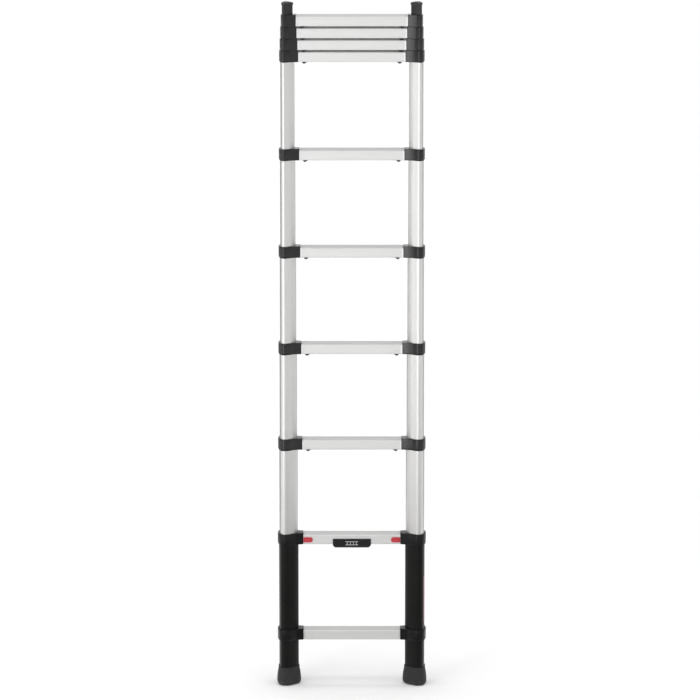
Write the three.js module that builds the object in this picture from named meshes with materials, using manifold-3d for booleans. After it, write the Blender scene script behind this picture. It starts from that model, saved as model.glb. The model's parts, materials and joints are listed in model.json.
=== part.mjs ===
// A telescoping ladder, in millimetres, +Z up, standing on its two feet with its front towards -Y.
// Nine nested tubes make each stile. Tube 1 is the base. Tube k carries rung k + 1 at its top, in a
// pair of collars, and slides inside tube k - 1. The lower sections are drawn out, the upper ones shut.

import * as THREE from 'three';
import { mergeVertices } from 'three/addons/utils/BufferGeometryUtils.js';
import Module from 'manifold-3d';

const wasm = await Module();
wasm.setup();

// ---- Driving dimensions -------------------------------------------------------------------------

const GAP = 0.3; // between pieces that touch
const OVERRUN = 1; // a cut starts and ends this far outside what it cuts

const RUNG_COUNT = 10;
const TUBE_COUNT = RUNG_COUNT - 1;
const LAST_DRAWN_RUNG = 7; // the rungs above this one are shut down onto it
const FIRST_RUNG_Z = 142; // underside of rung 1
const SECOND_RUNG_Z = 447; // underside of rung 2
const DRAWN_PITCH = 300; // from rung to rung, drawn out
const SHUT_PITCH = 36; // from rung to rung, shut

// Stile section: a triangle with bulging sides and round corners, its long side outward and its apex
// towards the rungs. X runs towards the rungs from the middle of the stile.
const STILE_X = 195.5; // from the ladder's middle to the middle of a stile
const TUBE_WIDTH = 60.5; // tube 1, along X
const TUBE_DEPTH = 80; // tube 1, along Y
const CORNER_X = -10.5; // centres of the two outer corners
const CORNER_RADIUS = 16;
const APEX_RADIUS = 21.75;
const FACE_RADIUS = 80; // bulge of the sides that meet at the apex
const TUBE_WALL = 1.35;
const HOLE_DEPTH = 4; // how far a lock hole's cut runs on inside the round apex
const TUBE_STEP = 1.75; // each tube is this much smaller all round than the one outside it
const TUBE_OVERLAP = 24; // a drawn tube reaches this far below the rung whose collar guides it
const CORNER_STEPS = 4; // straight pieces in each round corner
const FACE_STEPS = 3; // and in each side that meets the apex
const OUTER_STEPS = 4; // and in the outer side

const COLLAR_HEIGHT = SHUT_PITCH - GAP;
const COLLAR_WALL = 3.4;
const BASE_COLLAR_WALL = 4.5;
const COLLAR_LIP = 3; // covers the tube's top edge and guides the next tube
const BLOCK_DEPTH = 36; // the part of the collar that meets the rung
const PLUG_LENGTH = 20; // how far a collar reaches into the rung
const SHORT_PLUG_LENGTH = 8; // the same, where a release button needs the room

const RUNG_DEPTH = 39;
const RUNG_FRONT_HEIGHT = 30.3;
const RUNG_BACK_HEIGHT = 35; // the tread slopes down to the front
const RUNG_WALL = 1.6;
const RUNG_CORNER = 2.5;
const RUNG_LENGTH = 300.5; // rungs 1 and 2
const RUNG_LENGTH_STEP = 4.8; // each higher rung is this much longer

const FOOT_HEIGHT = 57;
const FOOT_SOCKET_FLOOR = 12;
const FOOT_RIM = 2.5; // how far the foot stands out from tube 1 at its top
const FOOT_MIDDLE_FLARE = 5.8; // and half-way down
const FOOT_FLARE = 7; // and near the ground
const FOOT_EDGE = 9; // rounding of the sole's edge

const CAP_HEIGHT = 38; // above the top collar
const CAP_STEM = 24; // down inside tube 9
const CAP_FLANGE = 2; // stands out from tube 9
const CAP_FLANGE_HEIGHT = 7; // from the flange's underside to the cap's top
const CAP_DOME_HEIGHT = 2.5;
const CAP_DOME_INSET = 3.5; // from the flange's edge to the dome's flat top

const BUTTON_LENGTH = 29;
const BUTTON_HEIGHT = 16;
const BUTTON_THICKNESS = 3;
const BUTTON_TRAVEL = 8;
const NECK_START = 9; // inboard from the rung's end
const NECK_LENGTH = 8;
const NECK_HEIGHT = 9;
const NECK_ROOT = 2; // how far the neck runs into the carriage
const CARRIAGE_LENGTH = 16;
const CARRIAGE_HEIGHT = 14;
const CARRIAGE_BACK = 6; // how far behind the rung's middle the carriage reaches

const PIN_Z = 15; // above the underside of the rung
const PIN_RADIUS = 4;
const PIN_SIDES = 12;
const PIN_FLANGE_RADIUS = 6;
const PIN_FLANGE_LENGTH = 2;
const PIN_IN_CARRIAGE = 6;
const CHAMBER_RADIUS = 6.5; // room for the spring in the collar
const CHAMBER_WALL = 3;
const SPRING_WIRE_RADIUS = 0.6;
const SPRING_TURNS = 5;
const SPRING_STEPS_PER_TURN = 10;

const BADGE_WIDTH = 118;
const BADGE_HEIGHT = 27;
const BADGE_THICKNESS = 3;
const BADGE_CHAMFER = 7;
const BADGE_DROP = 12.5; // from the rung's front top edge to the badge's top

// ---- Materials ----------------------------------------------------------------------------------

const finishes = {
  silver: { color: 0xc6c8ca, roughness: 0.36, metalness: 0.9 },
  black_coat: { color: 0x26272a, roughness: 0.42, metalness: 0.3 },
  plastic: { color: 0x232426, roughness: 0.55, metalness: 0 },
  rubber: { color: 0x3a3b3d, roughness: 0.8, metalness: 0 },
  red: { color: 0xb4283a, roughness: 0.4, metalness: 0 },
  steel: { color: 0x9a9da0, roughness: 0.3, metalness: 1 },
};

// ---- Helpers ------------------------------------------------------------------------------------

const ladder = new THREE.Group();

function place(name, geometry, finish, position, rotation = [0, 0, 0]) {
  const mesh = new THREE.Mesh(geometry, new THREE.MeshStandardMaterial(finishes[finish]));
  mesh.name = name;
  mesh.position.set(...position);
  mesh.rotation.set(...rotation);
  ladder.add(mesh);
}

function toSolid(geometry) {
  const plain = geometry.clone();
  plain.deleteAttribute('normal');
  plain.deleteAttribute('uv');
  const merged = mergeVertices(plain);
  return new wasm.Manifold(new wasm.Mesh({
    numProp: 3,
    vertProperties: Float32Array.from(merged.attributes.position.array),
    triVerts: Uint32Array.from(merged.index.array),
  }));
}

function toGeometry(solid) {
  const mesh = solid.getMesh();
  const geometry = new THREE.BufferGeometry();
  geometry.setAttribute('position', new THREE.BufferAttribute(mesh.vertProperties, 3));
  geometry.setIndex(new THREE.BufferAttribute(mesh.triVerts, 1));
  geometry.computeVertexNormals();
  return geometry;
}

// A box from its lowest to its highest corner.
function box(low, high) {
  const size = high.map((value, axis) => value - low[axis]);
  const middle = high.map((value, axis) => (value + low[axis]) / 2);
  return new THREE.BoxGeometry(...size).translate(...middle);
}

// A cylinder along X at the lock pin's height above the origin.
function pinBore(radius, fromX, toX) {
  const geometry = new THREE.CylinderGeometry(radius, radius, toX - fromX, PIN_SIDES);
  return geometry.rotateZ(Math.PI / 2).translate((fromX + toX) / 2, 0, PIN_Z);
}

// A rising quarter of an ellipse, from its widest point [x + width, z] to its top [x, z + height].
function quarterRound(x, z, width, height, steps) {
  return new THREE.EllipseCurve(x, z, width, height, 0, Math.PI / 2)
    .getPoints(steps)
    .map((point) => [point.x, point.y]);
}

// ---- Stile section ------------------------------------------------------------------------------

const CORNER_Y = TUBE_DEPTH / 2 - CORNER_RADIUS;
const CORNER_INSET = CORNER_X + TUBE_WIDTH / 2; // from the outer side to the corners' centres
const APEX_REACH = TUBE_WIDTH / 2;

// The outer side runs smoothly into its two corners and is TUBE_WIDTH / 2 from the middle.
const OUTER_RADIUS = (CORNER_INSET ** 2 + CORNER_Y ** 2 - CORNER_RADIUS ** 2)
  / (2 * (CORNER_INSET - CORNER_RADIUS));

// A side that bulges with the given radius, and runs smoothly out of one round corner into the next.
function bulgingSide(from, to, radius, steps) {
  const [fromReach, toReach] = [radius - from.radius, radius - to.radius];
  const [dx, dy] = [to.x - from.x, to.y - from.y];
  const distance = Math.hypot(dx, dy);
  const along = (fromReach ** 2 - toReach ** 2 + distance ** 2) / (2 * distance);
  const across = Math.sqrt(fromReach ** 2 - along ** 2);
  const x = from.x + (dx * along - dy * across) / distance;
  const y = from.y + (dy * along + dx * across) / distance;
  const start = Math.atan2(from.y - y, from.x - x);
  const end = Math.atan2(to.y - y, to.x - x);
  return { x, y, radius, start, end, steps };
}

// The arcs of tube 1's section, anticlockwise from the apex.
function sectionArcs() {
  const apex = { x: APEX_REACH - APEX_RADIUS, y: 0, radius: APEX_RADIUS };
  const back = { x: CORNER_X, y: CORNER_Y, radius: CORNER_RADIUS };
  const front = { x: CORNER_X, y: -CORNER_Y, radius: CORNER_RADIUS };
  const backFace = bulgingSide(apex, back, FACE_RADIUS, FACE_STEPS);
  const outerSide = bulgingSide(back, front, OUTER_RADIUS, OUTER_STEPS);
  const frontFace = bulgingSide(front, apex, FACE_RADIUS, FACE_STEPS);
  const corner = (circle, before, after) => (
    { ...circle, start: before.end, end: after.start, steps: CORNER_STEPS }
  );
  return [
    corner(apex, frontFace, backFace), backFace,
    corner(back, backFace, outerSide), outerSide,
    corner(front, outerSide, frontFace), frontFace,
  ];
}

const SECTION = sectionArcs();

// Points of the section, anticlockwise, grown all round from tube 1's outside.
function stileOutline(grow) {
  return SECTION.flatMap(({ x, y, radius, start, end, steps }) => (
    new THREE.EllipseCurve(x, y, radius + grow, radius + grow, start, end).getPoints(steps).slice(1)
  ));
}

// Carries a profile of [grow, z] points round the stile section, up its outside and down its inside.
// It closes on itself, or at the middle of the section when capped.
function aroundStile(profile, capped) {
  const rings = profile.map(([grow, z]) => stileOutline(grow).map(({ x, y }) => [x, y, z]));
  const count = rings[0].length;
  const points = rings.flat();
  const faces = [];
  const seams = capped ? rings.length - 1 : rings.length;
  for (let ring = 0; ring < seams; ring += 1) {
    const here = ring * count;
    const there = ((ring + 1) % rings.length) * count;
    for (let step = 0; step < count; step += 1) {
      const next = (step + 1) % count;
      faces.push(here + step, here + next, there + next);
      faces.push(here + step, there + next, there + step);
    }
  }
  if (capped) {
    const start = points.push([0, 0, profile[0][1]]) - 1;
    const end = points.push([0, 0, profile[profile.length - 1][1]]) - 1;
    const lastRing = (rings.length - 1) * count;
    for (let step = 0; step < count; step += 1) {
      const next = (step + 1) % count;
      faces.push(start, next, step);
      faces.push(end, lastRing + step, lastRing + next);
    }
  }
  const geometry = new THREE.BufferGeometry();
  geometry.setAttribute('position', new THREE.Float32BufferAttribute(points.flat(), 3));
  geometry.setIndex(faces);
  geometry.computeVertexNormals();
  return geometry;
}

function stilePrism(grow, fromZ, toZ) {
  return aroundStile([[grow, fromZ], [grow, toZ]], true);
}

// How much smaller a tube is than tube 1, all round, as a negative growth of its section.
function tubeGrow(tube) {
  return -TUBE_STEP * (tube - 1);
}

// ---- Heights ------------------------------------------------------------------------------------

function rungZ(rung) {
  if (rung === 1) return FIRST_RUNG_Z;
  const drawn = Math.min(rung, LAST_DRAWN_RUNG) - 2;
  const shut = Math.max(rung - LAST_DRAWN_RUNG, 0);
  return SECOND_RUNG_Z + drawn * DRAWN_PITCH + shut * SHUT_PITCH;
}

function rungLength(rung) {
  return RUNG_LENGTH + RUNG_LENGTH_STEP * Math.max(rung - 2, 0);
}

// ---- Feet ---------------------------------------------------------------------------------------

// A rubber boot that flares towards the ground, with a socket for tube 1.
function footGeometry() {
  const soleEdge = quarterRound(FOOT_FLARE - FOOT_EDGE, -FOOT_EDGE, FOOT_EDGE, FOOT_EDGE, 3)
    .map(([grow, height]) => [grow, -height])
    .reverse();
  return aroundStile([
    ...soleEdge,
    [FOOT_MIDDLE_FLARE, (FOOT_EDGE + FOOT_HEIGHT) / 2],
    [FOOT_RIM, FOOT_HEIGHT],
    [GAP, FOOT_HEIGHT],
    [GAP, FOOT_SOCKET_FLOOR],
  ], true);
}

// ---- Tubes --------------------------------------------------------------------------------------

// Tube k ends inside the collar of rung k + 1, just below its lip. Its apex has a hole for a lock
// pin: that of rung 2 in the base tube, and in a sliding tube that of rung k, whose collar guides it
// when it is drawn out. The tube's heights are measured from the underside of the pin's rung.
function tubeGeometry(tube) {
  const isBase = tube === 1;
  const top = COLLAR_HEIGHT - COLLAR_LIP - GAP + (isBase ? 0 : DRAWN_PITCH);
  const bottom = isBase ? FOOT_SOCKET_FLOOR + GAP - SECOND_RUNG_Z : -TUBE_OVERLAP;
  const outside = tubeGrow(tube);
  const inside = outside - TUBE_WALL;
  const wall = aroundStile([[outside, bottom], [outside, top], [inside, top], [inside, bottom]], false);
  const apex = APEX_REACH + outside;
  const hole = pinBore(PIN_RADIUS + GAP, apex - TUBE_WALL - HOLE_DEPTH, apex + OVERRUN);
  return toGeometry(toSolid(wall).subtract(toSolid(hole)));
}

function tubeZ(tube) {
  return rungZ(tube + 1) - (tube === 1 ? 0 : DRAWN_PITCH);
}

// ---- Collars ------------------------------------------------------------------------------------

// A moulded collar: a sleeve round its tube, a block towards the rung and a plug inside the rung.
// X runs from the middle of the stile towards the rung, and Z from the underside of the rung.
function collarGeometry(rung) {
  const tube = Math.max(rung - 1, 1);
  const wall = rung === 1 ? BASE_COLLAR_WALL : COLLAR_WALL;
  const bore = tubeGrow(tube) + GAP;
  const rungEnd = STILE_X - rungLength(rung) / 2 - GAP;
  const holdsButton = rung === 2;
  const plugEnd = rungEnd + (holdsButton ? SHORT_PLUG_LENGTH : PLUG_LENGTH);
  const plugY = RUNG_DEPTH / 2 - RUNG_WALL - GAP;
  const plugLow = RUNG_WALL + GAP;
  const plugHigh = RUNG_FRONT_HEIGHT - RUNG_WALL - 2 * GAP;

  let solid = toSolid(stilePrism(bore + wall, 0, COLLAR_HEIGHT))
    .add(toSolid(box([0, -BLOCK_DEPTH / 2, 0], [rungEnd, BLOCK_DEPTH / 2, COLLAR_HEIGHT])))
    .add(toSolid(box([0, -plugY, plugLow], [plugEnd, plugY, plugHigh])));

  const guidesNextTube = rung > 1 && rung < RUNG_COUNT;
  const boreTop = guidesNextTube ? COLLAR_HEIGHT - COLLAR_LIP : COLLAR_HEIGHT + OVERRUN;
  solid = solid.subtract(toSolid(stilePrism(bore, -OVERRUN, boreTop)));
  if (guidesNextTube) {
    const lipBore = tubeGrow(tube + 1) + GAP;
    solid = solid.subtract(toSolid(stilePrism(lipBore, -OVERRUN, COLLAR_HEIGHT + OVERRUN)));
  }
  if (holdsButton) {
    solid = solid
      .subtract(toSolid(pinBore(CHAMBER_RADIUS, 0, plugEnd - CHAMBER_WALL)))
      .subtract(toSolid(pinBore(PIN_RADIUS + GAP, 0, plugEnd + OVERRUN)));
  }
  return toGeometry(solid);
}

// ---- Rungs --------------------------------------------------------------------------------------

// The rung's outline in (y, z), set in from its outside by the given amount.
function rungOutline(inset, corner, PathType) {
  const half = RUNG_DEPTH / 2 - inset;
  const slope = (RUNG_BACK_HEIGHT - RUNG_FRONT_HEIGHT) / RUNG_DEPTH;
  const topAt = (y) => RUNG_FRONT_HEIGHT + slope * (y + RUNG_DEPTH / 2) - inset;
  const corners = [[-half, inset], [half, inset], [half, topAt(half)], [-half, topAt(-half)]]
    .map(([y, z]) => new THREE.Vector2(y, z));
  const path = new PathType();
  corners.forEach((point, index) => {
    const before = corners[(index + 3) % 4];
    const after = corners[(index + 1) % 4];
    const start = point.clone().add(before.clone().sub(point).setLength(corner));
    const end = point.clone().add(after.clone().sub(point).setLength(corner));
    if (index === 0) path.moveTo(start.x, start.y);
    else path.lineTo(start.x, start.y);
    path.quadraticCurveTo(point.x, point.y, end.x, end.y);
  });
  path.closePath();
  return path;
}

function rungGeometry(rung) {
  const length = rungLength(rung);
  const shape = rungOutline(0, RUNG_CORNER, THREE.Shape);
  shape.holes.push(rungOutline(RUNG_WALL, RUNG_CORNER - RUNG_WALL, THREE.Path));
  const tube = new THREE.ExtrudeGeometry(shape, { depth: length, bevelEnabled: false, curveSegments: 2 });
  tube.rotateX(Math.PI / 2).rotateZ(Math.PI / 2).translate(-length / 2, 0, 0);
  if (rung !== 2) return tube;

  // The release buttons' necks slide in two slots in the front wall.
  let solid = toSolid(tube);
  const slotStart = length / 2 - NECK_START + GAP;
  const slotEnd = length / 2 - NECK_START - NECK_LENGTH - BUTTON_TRAVEL - GAP;
  const slotZ = NECK_HEIGHT / 2 + GAP;
  for (const side of [-1, 1]) {
    const xs = [side * slotStart, side * slotEnd].sort((a, b) => a - b);
    const slot = box(
      [xs[0], -RUNG_DEPTH / 2 - OVERRUN, PIN_Z - slotZ],
      [xs[1], -RUNG_DEPTH / 2 + RUNG_WALL + OVERRUN, PIN_Z + slotZ],
    );
    solid = solid.subtract(toSolid(slot));
  }
  return toGeometry(solid);
}

// ---- Release: button, lock pin and spring -------------------------------------------------------

// All three are drawn for the left stile. X runs inboard from the end of rung 2, and Z from the
// middle of the pin, so a half turn about Y makes the right-hand one.
const rungTwoEnd = rungLength(2) / 2;
const tubeOneApex = STILE_X - APEX_REACH;
const plugFace = SHORT_PLUG_LENGTH - GAP;
const pinTip = rungTwoEnd - tubeOneApex - TUBE_STEP + GAP;
const pinFlange = rungTwoEnd - tubeOneApex + GAP;

// The button's head slides on the rung's front, and its neck joins it to a carriage inside.
function buttonGeometry() {
  const head = new THREE.Shape();
  const half = BUTTON_HEIGHT / 2;
  head.moveTo(GAP, -half);
  head.lineTo(GAP + BUTTON_LENGTH - half, -half);
  head.absarc(GAP + BUTTON_LENGTH - half, 0, half, -Math.PI / 2, Math.PI / 2);
  head.lineTo(GAP, half);
  head.closePath();
  const headGeometry = new THREE.ExtrudeGeometry(head, {
    depth: BUTTON_THICKNESS,
    bevelEnabled: false,
    curveSegments: 5,
  });
  const front = -RUNG_DEPTH / 2 - GAP;
  headGeometry.rotateX(Math.PI / 2).translate(0, front, 0);
  const inside = -RUNG_DEPTH / 2 + RUNG_WALL + GAP;
  const neck = box(
    [NECK_START, front - BUTTON_THICKNESS / 2, -NECK_HEIGHT / 2],
    [NECK_START + NECK_LENGTH, inside + NECK_ROOT, NECK_HEIGHT / 2],
  );
  const carriage = box(
    [NECK_START, inside, -CARRIAGE_HEIGHT / 2],
    [NECK_START + CARRIAGE_LENGTH, CARRIAGE_BACK, CARRIAGE_HEIGHT / 2],
  );
  const hole = pinBore(PIN_RADIUS + GAP, 0, NECK_START + PIN_IN_CARRIAGE + GAP).translate(0, 0, -PIN_Z);
  return toGeometry(toSolid(headGeometry)
    .add(toSolid(neck))
    .add(toSolid(carriage))
    .subtract(toSolid(hole)));
}

// A stepped pin: its flange takes the spring, and its nose goes out through tube 1's wall.
function pinGeometry() {
  const flangeEnd = pinFlange + PIN_FLANGE_LENGTH;
  const end = NECK_START + PIN_IN_CARRIAGE;
  const profile = [
    [0, pinTip],
    [PIN_RADIUS, pinTip],
    [PIN_RADIUS, pinFlange],
    [PIN_FLANGE_RADIUS, pinFlange],
    [PIN_FLANGE_RADIUS, flangeEnd],
    [PIN_RADIUS, flangeEnd],
    [PIN_RADIUS, end],
    [0, end],
  ].map(([radius, x]) => new THREE.Vector2(radius, x));
  return new THREE.LatheGeometry(profile, PIN_SIDES).rotateZ(-Math.PI / 2);
}

class Helix extends THREE.Curve {
  constructor(fromX, toX, radius, turns) {
    super();
    Object.assign(this, { fromX, toX, radius, turns });
  }

  getPoint(t, target = new THREE.Vector3()) {
    const angle = t * this.turns * 2 * Math.PI;
    const x = THREE.MathUtils.lerp(this.fromX, this.toX, t);
    return target.set(x, this.radius * Math.cos(angle), this.radius * Math.sin(angle));
  }
}

// A compression spring round the pin, between its flange and the end wall of the collar's plug.
function springGeometry() {
  const fromX = pinFlange + PIN_FLANGE_LENGTH + GAP + SPRING_WIRE_RADIUS;
  const toX = plugFace - CHAMBER_WALL - GAP - SPRING_WIRE_RADIUS;
  const radius = PIN_RADIUS + GAP + SPRING_WIRE_RADIUS;
  const wire = new THREE.Shape().absarc(0, 0, SPRING_WIRE_RADIUS, 0, 2 * Math.PI);
  return new THREE.ExtrudeGeometry(wire, {
    steps: SPRING_TURNS * SPRING_STEPS_PER_TURN,
    curveSegments: 3,
    extrudePath: new Helix(fromX, toX, radius, SPRING_TURNS),
  });
}

// ---- Badge --------------------------------------------------------------------------------------

// A plain plate on the front of rung 2, with its lower corners cut off.
function badgeGeometry() {
  const half = BADGE_WIDTH / 2;
  const top = RUNG_FRONT_HEIGHT - BADGE_DROP;
  const low = top - BADGE_HEIGHT;
  const plate = new THREE.Shape([
    [-half, top], [-half, low + BADGE_CHAMFER], [-half + BADGE_CHAMFER, low],
    [half - BADGE_CHAMFER, low], [half, low + BADGE_CHAMFER], [half, top],
  ].map(([x, z]) => new THREE.Vector2(x, z)));
  const geometry = new THREE.ExtrudeGeometry(plate, { depth: BADGE_THICKNESS, bevelEnabled: false });
  return geometry.rotateX(Math.PI / 2).translate(0, -RUNG_DEPTH / 2 - GAP, 0);
}

// ---- End caps -----------------------------------------------------------------------------------

// A cap over the top tube, with a stem inside it, a small flange and a low dome.
function capGeometry() {
  const tube = tubeGrow(TUBE_COUNT);
  const stem = tube - TUBE_WALL - GAP;
  const body = tube + GAP;
  const flange = tube + CAP_FLANGE;
  const flangeLow = CAP_HEIGHT - CAP_FLANGE_HEIGHT;
  const domeLow = CAP_HEIGHT - CAP_DOME_HEIGHT;
  return aroundStile([
    [stem, -CAP_STEM],
    [stem, 0],
    [body, 0],
    [body, flangeLow],
    [flange, flangeLow + flange - body],
    ...quarterRound(flange - CAP_DOME_INSET, domeLow, CAP_DOME_INSET, CAP_DOME_HEIGHT, 2),
  ], true);
}

// ---- Assembly -----------------------------------------------------------------------------------

// The stile section is the same front and back, so a half turn about Z makes the right-hand pieces.
const sides = [
  { name: 'left', x: -STILE_X, turn: 0, sign: -1 },
  { name: 'right', x: STILE_X, turn: Math.PI, sign: 1 },
];

for (const { name, x, turn, sign } of sides) {
  place(`foot_${name}`, footGeometry(), 'rubber', [x, 0, 0], [0, 0, turn]);

  for (let tube = 1; tube <= TUBE_COUNT; tube += 1) {
    const finish = tube === 1 ? 'black_coat' : 'silver';
    place(`stile_${tube}_${name}`, tubeGeometry(tube), finish, [x, 0, tubeZ(tube)], [0, 0, turn]);
  }

  for (let rung = 1; rung <= RUNG_COUNT; rung += 1) {
    place(`collar_${rung}_${name}`, collarGeometry(rung), 'plastic', [x, 0, rungZ(rung)], [0, 0, turn]);
  }

  const capZ = rungZ(RUNG_COUNT) + SHUT_PITCH;
  place(`end_cap_${name}`, capGeometry(), 'plastic', [x, 0, capZ], [0, 0, turn]);

  const release = [sign * rungTwoEnd, 0, rungZ(2) + PIN_Z];
  const facing = [0, turn, 0];
  place(`release_button_${name}`, buttonGeometry(), 'red', release, facing);
  place(`lock_pin_${name}`, pinGeometry(), 'steel', release, facing);
  place(`return_spring_${name}`, springGeometry(), 'steel', release, facing);
}

for (let rung = 1; rung <= RUNG_COUNT; rung += 1) {
  place(`rung_${rung}`, rungGeometry(rung), 'silver', [0, 0, rungZ(rung)]);
}

place('badge', badgeGeometry(), 'plastic', [0, 0, rungZ(2)]);

export default ladder;
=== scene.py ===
# A telescoping ladder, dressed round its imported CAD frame. Metres, +Z up, front towards -Y.

import json
import math

import bmesh
import bpy
from mathutils import Matrix, Vector

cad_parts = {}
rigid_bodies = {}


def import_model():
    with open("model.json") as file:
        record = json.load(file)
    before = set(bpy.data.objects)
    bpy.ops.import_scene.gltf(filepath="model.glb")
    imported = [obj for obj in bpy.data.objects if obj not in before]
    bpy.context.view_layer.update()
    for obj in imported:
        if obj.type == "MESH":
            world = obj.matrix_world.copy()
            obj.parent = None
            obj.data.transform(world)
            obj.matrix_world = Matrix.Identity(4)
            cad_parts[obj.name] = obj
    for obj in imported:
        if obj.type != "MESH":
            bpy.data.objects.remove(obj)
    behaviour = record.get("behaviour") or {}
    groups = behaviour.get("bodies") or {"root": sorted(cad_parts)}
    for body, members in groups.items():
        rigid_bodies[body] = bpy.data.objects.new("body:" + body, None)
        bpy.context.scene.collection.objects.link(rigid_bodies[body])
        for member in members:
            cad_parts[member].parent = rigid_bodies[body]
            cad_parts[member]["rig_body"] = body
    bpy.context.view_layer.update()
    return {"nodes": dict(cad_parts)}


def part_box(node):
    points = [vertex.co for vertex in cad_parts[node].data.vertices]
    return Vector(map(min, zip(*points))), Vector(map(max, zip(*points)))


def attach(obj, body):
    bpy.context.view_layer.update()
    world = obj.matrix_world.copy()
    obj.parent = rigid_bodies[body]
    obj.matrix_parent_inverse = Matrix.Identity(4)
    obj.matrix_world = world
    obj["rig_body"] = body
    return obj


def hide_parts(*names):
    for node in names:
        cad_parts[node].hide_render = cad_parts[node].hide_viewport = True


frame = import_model()

# ---- Driving dimensions ---------------------------------------------------------------------------

RUNGS = 10
TUBES = RUNGS - 1
SIDES = ("left", "right")

# The stile's section is a triangle with bulging sides and round corners, its long side outward.
TUBE_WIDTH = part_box("stile_1_left")[1].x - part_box("stile_1_left")[0].x
TUBE_DEPTH = 0.080
CORNER_X = -0.0105
CORNER_RADIUS = 0.016
APEX_RADIUS = 0.02175
FACE_RADIUS = 0.080
TUBE_WALL = 0.00135
STILE_X = -(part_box("stile_1_left")[0].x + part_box("stile_1_left")[1].x) / 2

GAP = 0.0003
COLLAR_LIP = 0.003
BLOCK_DEPTH = 0.036
BLOCK_TAPER = math.radians(14)
BLOCK_HOLLOW = 0.005
BLOCK_EDGE = 0.0018

RUNG_DEPTH = 0.039
RUNG_FRONT_HEIGHT = 0.0303
RUNG_BACK_HEIGHT = 0.035
RUNG_WALL = 0.0016
RUNG_CORNER = 0.0024
BORE_CORNER = 0.0008

BUTTON_HEIGHT = 0.016

SHARP_DEGREES = 35

CORNER_Y = TUBE_DEPTH / 2 - CORNER_RADIUS
CORNER_INSET = CORNER_X + TUBE_WIDTH / 2
OUTER_RADIUS = ((CORNER_INSET ** 2 + CORNER_Y ** 2 - CORNER_RADIUS ** 2)
                / (2 * (CORNER_INSET - CORNER_RADIUS)))


# ---- Outlines -------------------------------------------------------------------------------------

def spread(start, end, steps):
    """steps + 1 evenly spaced values from start to end."""
    return [start + (end - start) * step / steps for step in range(steps + 1)]


def arc(x, y, radius, start, end, steps):
    """Points of an arc, anticlockwise from one angle to the other."""
    sweep = (end - start) % (2 * math.pi)
    angles = spread(start, start + sweep, steps)
    return [Vector((x + radius * math.cos(a), y + radius * math.sin(a))) for a in angles]


def straight(start, end):
    """Two points just inside the ends of a straight side, which keep it flat under smooth shading."""
    return [start.lerp(end, 0.04), start.lerp(end, 0.96)]


def bulging_side(first, second, radius):
    """A side that runs smoothly from one round corner into the next, as (x, y, radius, start, end)."""
    (x1, y1, radius1), (x2, y2, radius2) = first, second
    distance = math.hypot(x2 - x1, y2 - y1)
    reach = radius - radius1
    along = (reach ** 2 - (radius - radius2) ** 2 + distance ** 2) / (2 * distance)
    across = math.sqrt(reach ** 2 - along ** 2)
    x = x1 + ((x2 - x1) * along - (y2 - y1) * across) / distance
    y = y1 + ((y2 - y1) * along + (x2 - x1) * across) / distance
    return x, y, radius, math.atan2(y1 - y, x1 - x), math.atan2(y2 - y, x2 - x)


APEX = (TUBE_WIDTH / 2 - APEX_RADIUS, 0, APEX_RADIUS)
BACK_CORNER = (CORNER_X, CORNER_Y, CORNER_RADIUS)
FRONT_CORNER = (CORNER_X, -CORNER_Y, CORNER_RADIUS)
BACK_FACE = bulging_side(APEX, BACK_CORNER, FACE_RADIUS)
OUTER_SIDE = bulging_side(BACK_CORNER, FRONT_CORNER, OUTER_RADIUS)


def mirrored(points):
    """The points on the section's other side, which carry on an outline from the last one."""
    return [Vector((point.x, -point.y)) for point in reversed(points)]


def outer_half(grow, face_start):
    """From an angle on the back face, round the back corner, to the middle of the outer side."""
    x, y, radius, _, face_end = BACK_FACE
    outer_x, outer_y, outer_radius, outer_start, _ = OUTER_SIDE
    return (arc(x, y, radius + grow, face_start, face_end, 10)[:-1]
            + arc(*BACK_CORNER[:2], CORNER_RADIUS + grow, face_end, outer_start, 14)
            + arc(outer_x, outer_y, outer_radius + grow, outer_start, math.pi, 5)[1:-1])


def stile_outline(grow):
    """The section, anticlockwise from its apex, grown all round from tube 1's outside."""
    face_start = BACK_FACE[3]
    apex = arc(*APEX[:2], APEX_RADIUS + grow, 0, face_start, 8)[1:-1]
    back = apex + outer_half(grow, face_start)
    tip, middle = TUBE_WIDTH / 2 + grow, -TUBE_WIDTH / 2 - grow
    return [Vector((tip, 0))] + back + [Vector((middle, 0))] + mirrored(back)


def fillet(before, corner, after, radius, steps):
    """Points of an arc that rounds off a corner between its two neighbours."""
    to_before = (before - corner).normalized()
    to_after = (after - corner).normalized()
    half = to_before.angle(to_after) / 2
    start = corner + to_before * radius / math.tan(half)
    end = corner + to_after * radius / math.tan(half)
    centre = corner + (to_before + to_after).normalized() * radius / math.sin(half)
    first, last = start - centre, end - centre
    sweep = first.angle(last)
    return [centre + (first * math.sin((1 - t) * sweep) + last * math.sin(t * sweep)) / math.sin(sweep)
            for t in spread(0, 1, steps)]


def rounded_corners(corners, radius, steps):
    """An arc for each corner of an outline."""
    count = len(corners)
    return [fillet(corners[i - 1], corners[i], corners[(i + 1) % count], radius, steps)
            for i in range(count)]


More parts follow.
